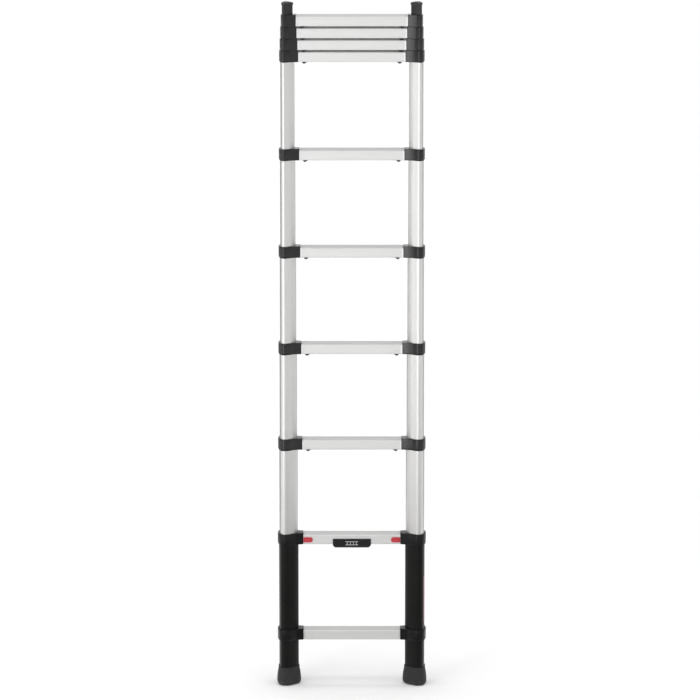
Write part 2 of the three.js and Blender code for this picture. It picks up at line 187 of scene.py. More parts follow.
def collar_outline(sleeve, reach, inset, block_inset):
    """A collar seen from above: the sleeve's section, with a block that tapers out to the rung's end."""
    grow = sleeve - inset
    corner = Vector((reach, BLOCK_DEPTH / 2 - block_inset))
    along = Vector((-math.cos(BLOCK_TAPER), math.sin(BLOCK_TAPER)))
    outward = Vector((math.sin(BLOCK_TAPER), math.cos(BLOCK_TAPER)))
    # The hollow round between block and sleeve touches the block's slanted side and the bulging face.
    face = Vector(BACK_FACE[:2])
    away = BACK_FACE[2] + grow + BLOCK_HOLLOW
    start = corner + outward * BLOCK_HOLLOW - face
    back_off = start.dot(along)
    slide = -back_off - math.sqrt(back_off ** 2 - start.length_squared + away ** 2)
    centre = face + start + along * slide
    angle = math.atan2(centre.y - face.y, centre.x - face.x)
    hollow = arc(centre.x, centre.y, BLOCK_HOLLOW, angle + math.pi, 1.5 * math.pi - BLOCK_TAPER, 8)
    edge = fillet(Vector((reach, 0)), corner, hollow[-1], BLOCK_EDGE, 4)
    back = edge + list(reversed(hollow))[:-1] + outer_half(grow, angle)
    return back + [Vector((-TUBE_WIDTH / 2 - grow, 0))] + mirrored(back)


def grooved(start, end, places, width, depth):
    """A straight side with shallow grooves. Each place is a distance from the side's start."""
    along = (end - start).normalized()
    inward = Vector((-along.y, along.x))
    points = []
    for place in places:
        for offset, drop in ((-0.5, 0), (-0.3, 1), (0.3, 1), (0.5, 0)):
            points.append(start + along * (place + offset * width) + inward * drop * depth)
    return points


def rung_corners(inset):
    """The rung's four corners in (y, z), anticlockwise from the lower front one."""
    half = RUNG_DEPTH / 2 - inset
    slope = (RUNG_BACK_HEIGHT - RUNG_FRONT_HEIGHT) / RUNG_DEPTH
    front_top = RUNG_FRONT_HEIGHT + slope * inset - inset
    back_top = RUNG_BACK_HEIGHT - slope * inset - inset
    return [Vector(p) for p in ((-half, inset), (half, inset), (half, back_top), (-half, front_top))]


def rung_outline():
    """The rung's outside in (y, z), with a ribbed tread and fine lines along its front and back."""
    ribs, groove_width, groove_depth = 11, 0.0016, 0.0005
    line_width, line_depth = 0.0011, 0.0004
    above_base, below_tread = 0.0015, 0.0030
    rounds = rounded_corners(rung_corners(0), RUNG_CORNER, 5)
    back_start, back_end = rounds[1][-1], rounds[2][0]
    tread_start, tread_end = rounds[2][-1], rounds[3][0]
    front_start, front_end = rounds[3][-1], rounds[0][0]
    back_height = (back_end - back_start).length
    tread_depth = (tread_end - tread_start).length
    front_height = (front_end - front_start).length
    back_lines = (above_base, back_height - below_tread)
    tread_grooves = [tread_depth * (rib + 0.5) / ribs for rib in range(ribs)]
    front_lines = (below_tread, front_height - above_base)
    base = straight(rounds[0][-1], rounds[1][0])
    back = grooved(back_start, back_end, back_lines, line_width, line_depth)
    tread = grooved(tread_start, tread_end, tread_grooves, groove_width, groove_depth)
    front = grooved(front_start, front_end, front_lines, line_width, line_depth)
    return rounds[0] + base + rounds[1] + back + rounds[2] + tread + rounds[3] + front


def rung_bore():
    """The rung's inside in (y, z)."""
    return sum(rounded_corners(rung_corners(RUNG_WALL), BORE_CORNER, 3), [])


# ---- Mesh building --------------------------------------------------------------------------------

def add_rings(mesh, rings, closed=False):
    """Quads through rings of equally many points. Returns the first and the last ring's vertices."""
    loops = [[mesh.verts.new(point) for point in ring] for ring in rings]
    pairs = list(zip(loops, loops[1:]))
    if closed:
        pairs.append((loops[-1], loops[0]))
    for lower, upper in pairs:
        count = len(lower)
        for i in range(count):
            j = (i + 1) % count
            mesh.faces.new((lower[i], lower[j], upper[j], upper[i]))
    return loops[0], loops[-1]


def add_solid(mesh, rings):
    """Rings closed at both ends by a flat face."""
    first, last = add_rings(mesh, rings)
    mesh.faces.new(list(reversed(first)))
    mesh.faces.new(last)


def fill_between(mesh, outer, inner):
    """A flat face with a hole, between two loops of vertices."""
    edges = []
    for loop in (outer, inner):
        for i, vertex in enumerate(loop):
            edges.append(mesh.edges.get((vertex, loop[(i + 1) % len(loop)])))
    bmesh.ops.triangle_fill(mesh, use_beauty=True, edges=edges)


def add_box(mesh, low, high, round_by=0.0, segments=2):
    """A box between two corners, with its edges rounded where round_by is given."""
    low, high = Vector(low), Vector(high)
    made = bmesh.ops.create_cube(mesh, size=1)["verts"]
    for vertex in made:
        vertex.co = Vector(low[i] + (vertex.co[i] + 0.5) * (high[i] - low[i]) for i in range(3))
    if round_by:
        edges = list({edge for vertex in made for edge in vertex.link_edges})
        bmesh.ops.bevel(mesh, geom=edges, offset=round_by, segments=segments, affect="EDGES", profile=0.5)


def shade(data, sharp_degrees=SHARP_DEGREES):
    """Smooth shading, apart from edges that turn by more than sharp_degrees."""
    data.shade_smooth()
    data.set_sharp_from_angle(angle=math.radians(sharp_degrees))


def to_object(mesh, name, sharp_degrees=SHARP_DEGREES):
    """Puts a finished mesh into the scene as an object."""
    bmesh.ops.recalc_face_normals(mesh, faces=mesh.faces)
    data = bpy.data.meshes.new(name)
    mesh.to_mesh(data)
    mesh.free()
    shade(data, sharp_degrees)
    made = bpy.data.objects.new(name, data)
    bpy.context.scene.collection.objects.link(made)
    return made


def cut_away(piece, cutter):
    """Takes the cutter's shape out of the piece, and removes the cutter."""
    modifier = piece.modifiers.new("cut", "BOOLEAN")
    modifier.operation = "DIFFERENCE"
    modifier.solver = "EXACT"
    modifier.object = cutter
    bpy.context.view_layer.update()
    evaluated = piece.evaluated_get(bpy.context.evaluated_depsgraph_get())
    piece.data = bpy.data.meshes.new_from_object(evaluated)
    piece.modifiers.clear()
    bpy.data.objects.remove(cutter)
    shade(piece.data)


def stile_frame(side, z=0.0):
    """Places a point drawn for the left stile, where X runs to the rungs, on either stile."""
    turn = 0 if side == "left" else math.pi
    x = -STILE_X if side == "left" else STILE_X
    return Matrix.Translation((x, 0, z)) @ Matrix.Rotation(turn, 4, "Z")


def around(outline, z):
    """An outline laid flat at a height."""
    return [Vector((point.x, point.y, z)) for point in outline]


# ---- Materials ------------------------------------------------------------------------------------

# A mix node's colour sockets, which share their names with its float and vector ones.
MIX_FIRST, MIX_SECOND, MIX_RESULT = 6, 7, 2


class Finish:
    """A procedural material, with the nodes that each finish is made of."""

    def __init__(self, name):
        self.material = bpy.data.materials.new(name)
        self.material.use_nodes = True
        self.nodes = self.material.node_tree.nodes
        self.links = self.material.node_tree.links
        self.shader = self.nodes["Principled BSDF"]
        self.place = self.nodes.new("ShaderNodeTexCoord").outputs["Object"]
        self.bump_from = None

    def set(self, **values):
        """Constants for the shader's inputs, named in lower case with underscores."""
        for name, value in values.items():
            self.shader.inputs[name.replace("_", " ").title().replace("Ior", "IOR")].default_value = value

    def noise(self, scale, stretch=(1, 1, 1), detail=4.0, roughness=0.55):
        """Noise with scale features in a metre. A small share in stretch draws it out along that axis."""
        mapping = self.nodes.new("ShaderNodeMapping")
        mapping.inputs["Scale"].default_value = [scale * share for share in stretch]
        texture = self.nodes.new("ShaderNodeTexNoise")
        texture.inputs["Scale"].default_value = 1.0
        texture.inputs["Detail"].default_value = detail
        texture.inputs["Roughness"].default_value = roughness
        self.links.new(self.place, mapping.inputs["Vector"])
        self.links.new(mapping.outputs["Vector"], texture.inputs["Vector"])
        return texture.outputs["Fac"]

    def ramp(self, source, stops):
        """Maps source through (place, value) stops, where a value is a grey or a colour."""
        node = self.nodes.new("ShaderNodeValToRGB")
        elements = node.color_ramp.elements
        while len(elements) < len(stops):
            elements.new(0.5)
        for element, (place, value) in zip(elements, stops):
            element.position = place
            element.color = (*value, 1) if isinstance(value, tuple) else (value, value, value, 1)
        self.links.new(source, node.inputs["Fac"])
        return node.outputs["Color"]

    def mix(self, factor, first, second):
        """Mixes two colours by a factor's socket. Each colour is a socket or a constant."""
        node = self.nodes.new("ShaderNodeMix")
        node.data_type = "RGBA"
        self.links.new(factor, node.inputs["Factor"])
        for index, colour in ((MIX_FIRST, first), (MIX_SECOND, second)):
            if isinstance(colour, tuple):
                node.inputs[index].default_value = (*colour, 1)
            else:
                self.links.new(colour, node.inputs[index])
        return node.outputs[MIX_RESULT]

    def bump(self, height, strength, distance):
        """Adds a bump on top of those before it."""
        node = self.nodes.new("ShaderNodeBump")
        node.inputs["Strength"].default_value = strength
        node.inputs["Distance"].default_value = distance
        self.links.new(height, node.inputs["Height"])
        if self.bump_from is not None:
            self.links.new(self.bump_from, node.inputs["Normal"])
        self.bump_from = node.outputs["Normal"]
        self.links.new(self.bump_from, self.shader.inputs["Normal"])

    def drive(self, name, source):
        self.links.new(source, self.shader.inputs[name])

    def edges(self, low, high):
        """1 on worn outer edges and 0 elsewhere."""
        pointiness = self.nodes.new("ShaderNodeNewGeometry").outputs["Pointiness"]
        return self.ramp(pointiness, [(low, 0.0), (high, 1.0)])


def anodised(name, dark, light, stretch, roughness, metallic=1.0):
    """Satin anodised aluminium, with extrusion lines along the stretched axis and faint handling marks."""
    finish = Finish(name)
    finish.set(metallic=metallic)
    lines = finish.noise(900, stretch, detail=5.0, roughness=0.65)
    clouds = finish.noise(14, detail=3.0)
    marks = finish.noise(160, (1, 1, 0.35), detail=6.0, roughness=0.7)
    tone = finish.ramp(lines, [(0.30, dark), (0.70, light)])
    cloudy = finish.mix(finish.ramp(clouds, [(0.35, 0.0), (0.75, 0.30)]), tone, dark)
    finish.drive("Base Color", cloudy)
    low, high = roughness
    rough = finish.ramp(lines, [(0.25, low), (0.75, high)])
    smudges = finish.ramp(marks, [(0.52, 0.0), (0.72, 0.35)])
    finish.drive("Roughness", finish.mix(smudges, rough, (high + 0.12,) * 3))
    finish.bump(lines, 0.18, 0.00010)
    finish.bump(clouds, 0.05, 0.0008)
    return finish.material


def coated_black():
    """The base tube's satin black coating, with a fine orange peel and light rub marks along the tube."""
    finish = Finish("coated_black")
    finish.set(specular_ior_level=0.16)
    lines = finish.noise(500, (1, 1, 0.03), detail=4.0)
    clouds = finish.noise(20, detail=3.0)
    tone = finish.ramp(clouds, [(0.3, (0.0048, 0.0044, 0.0041)), (0.7, (0.0070, 0.0065, 0.0060))])
    rubs = finish.ramp(lines, [(0.62, 0.0), (0.80, 0.5)])
    finish.drive("Base Color", finish.mix(rubs, tone, (0.014, 0.014, 0.015)))
    finish.drive("Roughness", finish.ramp(lines, [(0.3, 0.34), (0.7, 0.46)]))
    finish.bump(finish.noise(700, detail=2.0), 0.12, 0.00015)
    return finish.material


def moulded(name, dark, light, roughness, grain=1500, wear=None, specular=0.45):
    """Plastic, paint or film with a fine grain, an uneven tone and paler worn edges."""
    finish = Finish(name)
    finish.set(specular_ior_level=specular)
    clouds = finish.noise(30, detail=4.0)
    tone = finish.ramp(clouds, [(0.3, dark), (0.75, light)])
    worn = wear or tuple(min(channel * 2.4, 1) for channel in light)
    finish.drive("Base Color", finish.mix(finish.edges(0.515, 0.60), tone, worn))
    low, high = roughness
    speckle = finish.noise(grain, detail=3.0, roughness=0.6)
    finish.drive("Roughness", finish.ramp(speckle, [(0.3, low), (0.7, high)]))
    finish.bump(speckle, 0.22, 0.00012)
    return finish.material


def dusty_rubber():
    """The feet: dark grey rubber, dusty and a little paler towards the ground."""
    finish = Finish("foot_rubber")
    finish.set(specular_ior_level=0.35)
    clouds = finish.noise(45, detail=5.0)
    tone = finish.ramp(clouds, [(0.3, (0.020, 0.020, 0.021)), (0.75, (0.032, 0.032, 0.033))])
    split = finish.nodes.new("ShaderNodeSeparateXYZ")
    finish.links.new(finish.place, split.inputs["Vector"])
    # Most dust is at the ground, and none from this height up.
    dust_height, most_dust = 0.016, 0.5
    fade = finish.nodes.new("ShaderNodeMapRange")
    fade.inputs["From Min"].default_value = 0.0
    fade.inputs["From Max"].default_value = dust_height
    fade.inputs["To Min"].default_value = most_dust
    fade.inputs["To Max"].default_value = 0.0
    finish.links.new(split.outputs["Z"], fade.inputs["Value"])
    patches = finish.ramp(clouds, [(0.4, 0.2), (0.7, 1.0)])
    dust = finish.mix(patches, (0.0, 0.0, 0.0), fade.outputs["Result"])
    finish.drive("Base Color", finish.mix(dust, tone, (0.085, 0.082, 0.078)))
    speckle = finish.noise(1100, detail=4.0, roughness=0.65)
    finish.drive("Roughness", finish.ramp(speckle, [(0.3, 0.62), (0.7, 0.82)]))
    finish.bump(speckle, 0.35, 0.00018)
    return finish.material


def plated_steel():
    """The pins' and springs' plating, with fine marks that run along X."""
    finish = Finish("plated_steel")
    finish.set(metallic=1.0)
    lines = finish.noise(1200, (0.1, 1, 1), detail=3.0)
    finish.drive("Base Color", finish.ramp(lines, [(0.3, (0.50, 0.50, 0.51)), (0.7, (0.62, 0.62, 0.63))]))
    finish.drive("Roughness", finish.ramp(lines, [(0.3, 0.24), (0.7, 0.36)]))
    finish.bump(lines, 0.1, 0.00005)
    return finish.material


# Which way a metal's fine lines run: they are drawn out along each axis that has a small share.
UPRIGHT_LINES = (1, 1, 0.012)
LEVEL_LINES = (0.012, 1, 1)
AROUND_LINES = (1, 0.05, 0.05)

TUBE_METAL = anodised("tube_aluminium", (0.658, 0.655, 0.648), (0.728, 0.725, 0.718), UPRIGHT_LINES,
                      (0.34, 0.44))
RUNG_METAL = anodised("rung_aluminium", (0.75, 0.748, 0.742), (0.81, 0.808, 0.802), LEVEL_LINES,
                      (0.42, 0.52), metallic=0.65)
# Painted shade: a darker copy of the rung's aluminium for its tread, standing in for the dimmer light that
# falls on the upward face.
SHADED_TREAD_METAL = anodised("rung_tread_painted_shade", (0.52, 0.518, 0.513), (0.60, 0.598, 0.593), LEVEL_LINES,
                       (0.48, 0.60), metallic=0.65)
BAND_METAL = anodised("rung_end_band", (0.80, 0.798, 0.792), (0.88, 0.878, 0.872), AROUND_LINES,
                      (0.26, 0.36))
BASE_COAT = coated_black()
COLLAR_PLASTIC = moulded("collar_plastic", (0.0025, 0.0025, 0.0027), (0.0035, 0.0035, 0.0038),
                         (0.13, 0.22))
BASE_COLLAR_PLASTIC = moulded("base_collar_plastic", (0.0025, 0.0025, 0.0027), (0.0035, 0.0035, 0.0038),
                              (0.24, 0.36), specular=0.24)
CAP_PLASTIC = moulded("cap_plastic", (0.009, 0.009, 0.010), (0.013, 0.013, 0.014), (0.38, 0.50))
TRIGGER_PLASTIC = moulded("trigger_plastic", (0.008, 0.008, 0.009), (0.012, 0.012, 0.013), (0.35, 0.50))
BUTTON_PLASTIC = moulded("button_plastic", (0.46, 0.020, 0.040), (0.54, 0.028, 0.050), (0.30, 0.42),
                         wear=(0.62, 0.08, 0.10))
BADGE_PLASTIC = moulded("badge_plastic", (0.005, 0.005, 0.005), (0.007, 0.007, 0.007), (0.22, 0.32),
                        grain=2500, specular=0.32)
MARK_PAINT = moulded("badge_mark", (0.50, 0.50, 0.50), (0.60, 0.60, 0.60), (0.40, 0.50),
                     wear=(0.66, 0.66, 0.66))
LABEL_FILM = moulded("label_film", (0.30, 0.024, 0.028), (0.35, 0.032, 0.037), (0.30, 0.40),
                     wear=(0.40, 0.05, 0.06), specular=0.30)
LABEL_EDGE = moulded("label_edge", (0.26, 0.26, 0.26), (0.30, 0.30, 0.30), (0.35, 0.45),
                     wear=(0.34, 0.34, 0.34), specular=0.30)
FOOT_RUBBER = dusty_rubber()
STEEL = plated_steel()


# ---- Pieces ---------------------------------------------------------------------------------------


def stand_for(piece, node, material):
    """The fine piece takes a CAD node's place and body, and the given material."""
    piece.data.materials.clear()
    piece.data.materials.append(material)
    ride_with(piece, node)
    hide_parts(node)


def ride_with(piece, node):
    """The piece moves with a CAD node's body."""
    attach(piece, frame["nodes"][node]["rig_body"])


def tube_grow(tube):
    """How much smaller a tube is than tube 1, all round."""
    low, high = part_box(f"stile_{tube}_left")
    return (high.x - low.x - TUBE_WIDTH) / 2


def make_tube(tube, side):
    """One tube of a stile, open at both ends, with the edges of its rims taken off."""
    node = f"stile_{tube}_{side}"
    low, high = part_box(node)
    outside = tube_grow(tube)
    inside = outside - TUBE_WALL
    edge = 0.0003
    profile = [
        (outside - edge, low.z), (outside, low.z + edge), (outside, high.z - edge), (outside - edge, high.z),
        (inside + edge, high.z), (inside, high.z - edge), (inside, low.z + edge), (inside + edge, low.z),
    ]
    mesh = bmesh.new()
    add_rings(mesh, [around(stile_outline(grow), z) for grow, z in profile], closed=True)
    mesh.transform(stile_frame(side))
    stand_for(to_object(mesh, f"tube_{tube}_{side}"), node, BASE_COAT if tube == 1 else TUBE_METAL)


def make_collar(rung, side):
    """A moulded collar round its tube, with a shadow line under it, and the block for the rung's end."""
    node = f"collar_{rung}_{side}"
    low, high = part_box(node)
    tube = max(rung - 1, 1)
    bore = tube_grow(tube) + GAP
    sleeve = -STILE_X - low.x - TUBE_WIDTH / 2 if side == "left" else high.x - STILE_X - TUBE_WIDTH / 2
    reach = STILE_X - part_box(f"rung_{rung}")[1].x - GAP
    height = high.z - low.z
    # Each row is how far the sleeve and the block draw in, and the height.
    profile = [
        (0.0020, 0.0012, 0), (0.0020, 0.0012, 0.0012), (0.0010, 0.0004, 0.0014), (0.0005, 0.0001, 0.0024),
        (0.0001, 0, 0.0038), (0, 0, 0.0054), (0, 0, height - 0.0022), (0.0003, 0, height - 0.0010),
        (0.0009, 0.0003, height - 0.0003), (0.0016, 0.0007, height),
    ]
    mesh = bmesh.new()
    outer = [around(collar_outline(sleeve, reach, inset, block_inset), z)
             for inset, block_inset, z in profile]
    outer_low, outer_high = add_rings(mesh, outer)
    guides = 1 < rung < RUNGS
    lip = tube_grow(tube + 1) + GAP if guides else bore
    lip_z = height - COLLAR_LIP
    lead_in, lip_edge = 0.0004, 0.0006
    inner = [(bore + lead_in, 0), (bore, lead_in), (bore, lip_z), (lip, lip_z + 0.0001),
             (lip, height - lip_edge), (lip + lip_edge, height)]
    inner_low, inner_high = add_rings(mesh, [around(stile_outline(grow), z) for grow, z in inner])
    fill_between(mesh, outer_low, inner_low)
    fill_between(mesh, outer_high, inner_high)
    add_plug(mesh, rung, reach)
    mesh.transform(stile_frame(side, low.z))
    plastic = BASE_COLLAR_PLASTIC if rung <= 2 else COLLAR_PLASTIC
    stand_for(to_object(mesh, f"collar_moulding_{rung}_{side}"), node, plastic)


def add_plug(mesh, rung, reach):
    """The part of a collar that goes into the rung's end, short where a button's carriage needs room."""
    length = 0.008 if rung == 2 else 0.020
    root = 0.002
    half = RUNG_DEPTH / 2 - RUNG_WALL - GAP
    add_box(mesh, (reach - root, -half, RUNG_WALL + GAP),
            (reach + length, half, RUNG_FRONT_HEIGHT - RUNG_WALL - 2 * GAP), BORE_CORNER)


def make_rung(rung):
    """A ribbed box rung, with a slightly fuller band at each end where it is pressed onto its plug."""
    node = f"rung_{rung}"
    low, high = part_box(node)
    band, step, flat, edge = 0.0032, 0.0006, 0.0050, 0.0005
    shrink, edge_shrink = 0.988, 0.985
    outline, bore = rung_outline(), rung_bore()
    middle = Vector((0, RUNG_FRONT_HEIGHT / 2))

    def ring(points, x, scale=1.0):
        scaled = [middle + (point - middle) * scale for point in points]
        return [Vector((x, point.x, point.y)) for point in scaled]

    # From flat to flat the rung is straight, so the step's smooth shading stays at the ends.
    offsets = [(0, edge_shrink), (edge, 1), (band, 1), (band + step, shrink), (flat, shrink)]
    stations = ([(low.x + offset, scale) for offset, scale in offsets]
                + [(high.x - offset, scale) for offset, scale in reversed(offsets)])
    mesh = bmesh.new()
    outer_left, outer_right = add_rings(mesh, [ring(outline, x, scale) for x, scale in stations])
    inner_left, inner_right = add_rings(mesh, [ring(bore, x) for x in (low.x, high.x)])
    fill_between(mesh, outer_left, inner_left)
    fill_between(mesh, outer_right, inner_right)
    mesh.transform(Matrix.Translation((0, 0, low.z)))
    piece = to_object(mesh, f"rung_extrusion_{rung}", sharp_degrees=28)
    stand_for(piece, node, RUNG_METAL)
    piece.data.materials.append(BAND_METAL)
    piece.data.materials.append(SHADED_TREAD_METAL)
    # The upward tread faces take the darker copy of the rung's metal, which paints shade on the rung's top.
    tread_level = low.z + RUNG_FRONT_HEIGHT * 0.9
    for face in piece.data.polygons:
        if face.normal.z > 0.5 and face.center.z > tread_level:
            face.material_index = piece.data.materials.find(SHADED_TREAD_METAL.name)
        elif abs(face.center.x) > high.x - band - step:
            face.material_index = piece.data.materials.find(BAND_METAL.name)


def make_foot(side):
    """A flared rubber boot with a beaded rim, a rounded sole edge and a grooved sole."""
    node = f"foot_{side}"
    low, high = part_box(node)
    height = high.z - low.z
    flare = (high.x - low.x - TUBE_WIDTH) / 2
    edge, waist, rim_out, socket, lead_in = 0.010, 0.0016, 0.0025, 0.012, 0.0005
    # Each row is how far the outline stands out from tube 1's outside, and the height.
    sole = [(flare - edge * (1 - math.sin(a)), edge * (1 - math.cos(a)))
            for a in spread(0, math.pi / 2, 7)]
    wall_height = height - 0.0060 - edge
    wall = []
    for share in spread(0, 1, 10)[1:]:
        swell = math.cos(share * math.pi / 2) ** 0.75
        wall.append((waist + (flare - waist) * swell, edge + wall_height * share))
    rim = [(0.0018, height - 0.0052), (rim_out, height - 0.0044), (rim_out, height - 0.0012),
           (rim_out - 0.0004, height - 0.0003), (rim_out - 0.0009, height)]
    inside = [(GAP + lead_in, height), (GAP, height - lead_in), (GAP, socket)]
    mesh = bmesh.new()
    add_solid(mesh, [around(stile_outline(grow), z) for grow, z in sole + wall + rim + inside])
    mesh.transform(stile_frame(side, low.z))
    piece = to_object(mesh, f"foot_boot_{side}", sharp_degrees=40)
    cut_away(piece, sole_grooves((low.x + high.x) / 2))
    stand_for(piece, node, FOOT_RUBBER)


def sole_grooves(centre):
    """The bars that cut the grooves into a sole, from side to side and past its edges."""
    mesh = bmesh.new()
    half_length, width, pitch, depth, below = 0.060, 0.0030, 0.0090, 0.0022, 0.010
    for step in range(-4, 5):
        y = step * pitch
        add_box(mesh, (centre - half_length, y - width / 2, -below),
                (centre + half_length, y + width / 2, depth))
    return to_object(mesh, "sole_grooves")


def make_end_cap(side):
    """A soft cap over the top tube, with a flange and a domed top."""
    node = f"end_cap_{side}"
    low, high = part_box(node)
    tube = tube_grow(TUBES)
    flange = (high.x - low.x - TUBE_WIDTH) / 2
    stem = tube - TUBE_WALL - GAP
    body = tube + GAP
    body_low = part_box(f"collar_{RUNGS}_{side}")[1].z + GAP
    dome, dome_end = 0.0050, math.radians(86)
    shoulder = high.z - dome
    # Each row is how far the outline stands out from tube 1's outside, and the height.
    profile = [
        (stem - 0.001, low.z), (stem, low.z + 0.001), (stem, body_low), (tube - 0.0002, body_low),
        (body, body_low + 0.0005), (body, shoulder - 0.0052), (body + 0.0004, shoulder - 0.0046),
        (flange - 0.0003, shoulder - 0.0042), (flange, shoulder - 0.0034), (flange, shoulder),
    ]
    rings = [around(stile_outline(grow), z) for grow, z in profile]
    for angle in spread(0, dome_end, 9)[1:]:
        share = math.cos(angle)
        rings.append([Vector((point.x * share, point.y * share, shoulder + dome * math.sin(angle)))
                      for point in stile_outline(flange)])
    mesh = bmesh.new()
    add_solid(mesh, rings)
    mesh.transform(stile_frame(side))
    stand_for(to_object(mesh, f"cap_moulding_{side}"), node, CAP_PLASTIC)


def button_outline(inset, length):
    """The button's face in (x, z): square by the collar and round at its inner end."""
    half = BUTTON_HEIGHT / 2 - inset
    end = length - BUTTON_HEIGHT / 2
    tip = arc(end, 0, half, -math.pi / 2, math.pi / 2, 14)
    start_low, start_high = Vector((inset, -half)), Vector((inset, half))
    return (fillet(tip[-1], start_high, start_low, 0.0012, 4)
            + fillet(start_high, start_low, tip[0], 0.0012, 4) + tip)


def make_button(side):
    """A red slider with finger ridges, and the carriage that it draws along inside the rung."""
    node = f"release_button_{side}"
    low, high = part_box(node)
    length = high.x - low.x
    front = low.y
    face = -RUNG_DEPTH / 2 - GAP
    mesh = bmesh.new()
    rings = [(0.0, face), (0.0, front + 0.0010), (0.0003, front + 0.0004), (0.0010, front)]
    dish = [(0.0018, front), (0.0024, front + 0.0005)]
    add_solid(mesh, [[Vector((p.x, y, p.y)) for p in button_outline(inset, length)]
                     for inset, y in rings + dish])
    first, pitch, width, depth, half_height = 0.0060, 0.0040, 0.0016, 0.0012, 0.0048
    for ridge in range(4):
        x = first + ridge * pitch
        add_box(mesh, (x, front, -half_height), (x + width, front + depth, half_height), 0.0005, 3)
    add_carriage(mesh, face, high.y)
    turn = 0 if side == "left" else math.pi
    start = low.x if side == "left" else high.x
    mesh.transform(Matrix.Translation((start, 0, (low.z + high.z) / 2)) @ Matrix.Rotation(turn, 4, "Y"))
    stand_for(to_object(mesh, f"button_slider_{side}"), node, BUTTON_PLASTIC)


def add_carriage(mesh, face, back):
    """What the button draws along inside the rung, with the neck that joins them through the slot."""
    start, neck_end, carriage_end = 0.009, 0.017, 0.025
    neck_height, carriage_height = 0.009, 0.014
    into_button, into_carriage = 0.001, 0.0016
    carriage_front = -0.0176
    add_box(mesh, (start, face - into_button, -neck_height / 2),
            (neck_end, carriage_front + into_carriage, neck_height / 2))
    add_box(mesh, (start, carriage_front, -carriage_height / 2),
            (carriage_end, back, carriage_height / 2), 0.0006)


def badge_outline(inset, low, high, chamfer):
    """The badge's outline in (x, z), anticlockwise seen from the front, with its lower corners cut off."""
    cut = chamfer - inset * 0.6
    corners = [Vector(p) for p in (
        (low.x + inset, high.z - inset), (low.x + inset, low.z + cut), (low.x + cut, low.z + inset),
        (high.x - cut, low.z + inset), (high.x - inset, low.z + cut), (high.x - inset, high.z - inset))]
    return sum(rounded_corners(corners, 0.0012, 3), [])


def make_badge():
    """A black plate with a raised border round a sunk field."""
    low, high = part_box("badge")
    face, back = low.y, high.y
    border, recess, chamfer = 0.0024, 0.0006, 0.007
    profile = [(0, back), (0, face + 0.0007), (0.0002, face + 0.0002), (0.0007, face),
               (border, face), (border + recess, face + recess)]
    mesh = bmesh.new()
    rings = [[Vector((p.x, y, p.y)) for p in badge_outline(inset, low, high, chamfer)]
             for inset, y in profile]
    add_solid(mesh, rings)
    stand_for(to_object(mesh, "badge_plate"), "badge", BADGE_PLASTIC)


def make_pictogram():
    """A plain ladder lying on its side, which stands out a little from the badge's sunk field."""
    low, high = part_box("badge")
    near, far = low.y + 0.0002, low.y + 0.0010
    middle = (low.z + high.z) / 2
    half_length, half_height, half_line, edge = 0.0200, 0.0050, 0.0007, 0.0002
    last_rung = half_length * 0.7
    mesh = bmesh.new()
    for z in (middle - half_height, middle + half_height):
        add_box(mesh, (-half_length, near, z - half_line), (half_length, far, z + half_line), edge)
    for x in spread(-last_rung, last_rung, 3):
        add_box(mesh, (x - half_line, near, middle - half_height),
                (x + half_line, far, middle + half_height), edge)
    piece = to_object(mesh, "badge_pictogram")
    piece.data.materials.append(MARK_PAINT)
    ride_with(piece, "badge")


def make_trigger(rung, side):
    """The small wedge under a rung's end that meets the rung below when the section shuts."""
    node = f"rung_{rung}"
    low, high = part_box(node)
    # The outline is seen from the front, measured from the rung's end and base.
    drop, root = 0.0046, 0.0012
    outline = [Vector(p) for p in ((0.011, root), (0.0135, -drop * 0.8), (0.0190, -drop), (0.027, root))]
    points = (fillet(outline[0], outline[1], outline[2], 0.0012, 3)
              + fillet(outline[1], outline[2], outline[3], 0.0010, 3) + [outline[3], outline[0]])
    centre = Vector((0.0185, -0.0005))
    front, depth, edge, edge_shrink = -0.0190, 0.0065, 0.0006, 0.90
    back = front + depth
    mesh = bmesh.new()
    rings = []
    for y, scale in ((front, edge_shrink), (front + edge, 1), (back - edge, 1), (back, edge_shrink)):
        scaled = [centre + (point - centre) * scale for point in points]
        rings.append([Vector((point.x, y, point.y)) for point in scaled])
    add_solid(mesh, rings)
    flip = Matrix.Scale(-1 if side == "right" else 1, 4, (1, 0, 0))
    start = low.x if side == "left" else high.x
    mesh.transform(Matrix.Translation((start, 0, low.z)) @ flip)
    piece = to_object(mesh, f"trigger_{rung}_{side}")
    piece.data.materials.append(TRIGGER_PLASTIC)
    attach(piece, frame["nodes"][node]["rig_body"])


def make_label_layer(name, margin, lift, material):
    """A film round the outer side of the right base tube, drawn in by a margin on all four edges."""
    above_collar, height, thickness = 0.025, 0.145, 0.00010
    low_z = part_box("collar_1_right")[1].z + above_collar
    x, y, radius = OUTER_SIDE[:3]
    half_angle = math.radians(15) - margin / radius
    start, end = math.pi - half_angle, math.pi + half_angle
    inner = arc(x, y, radius + lift, start, end, 12)
    outer = arc(x, y, radius + lift + thickness, start, end, 12)
    strip = inner + list(reversed(outer))
    mesh = bmesh.new()
    add_solid(mesh, [around(strip, low_z + margin), around(strip, low_z + height - margin)])
    mesh.transform(stile_frame("right") @ Matrix.Scale(-1, 4, (0, 1, 0)))
    piece = to_object(mesh, name)
    piece.data.materials.append(material)
    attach(piece, "base")


def make_label():
    """A label without any print: a red field with a grey edge."""
    make_label_layer("label_backing", 0.0, 0.00008, LABEL_EDGE)
    make_label_layer("label_field", 0.0022, 0.00020, LABEL_FILM)


def dress_steel():
    """The pins and springs keep their CAD shape and take a plated finish."""
    for side in SIDES:
        for name in ("lock_pin", "return_spring"):
            piece = frame["nodes"][f"{name}_{side}"]
            piece.data.materials.clear()
            piece.data.materials.append(STEEL)


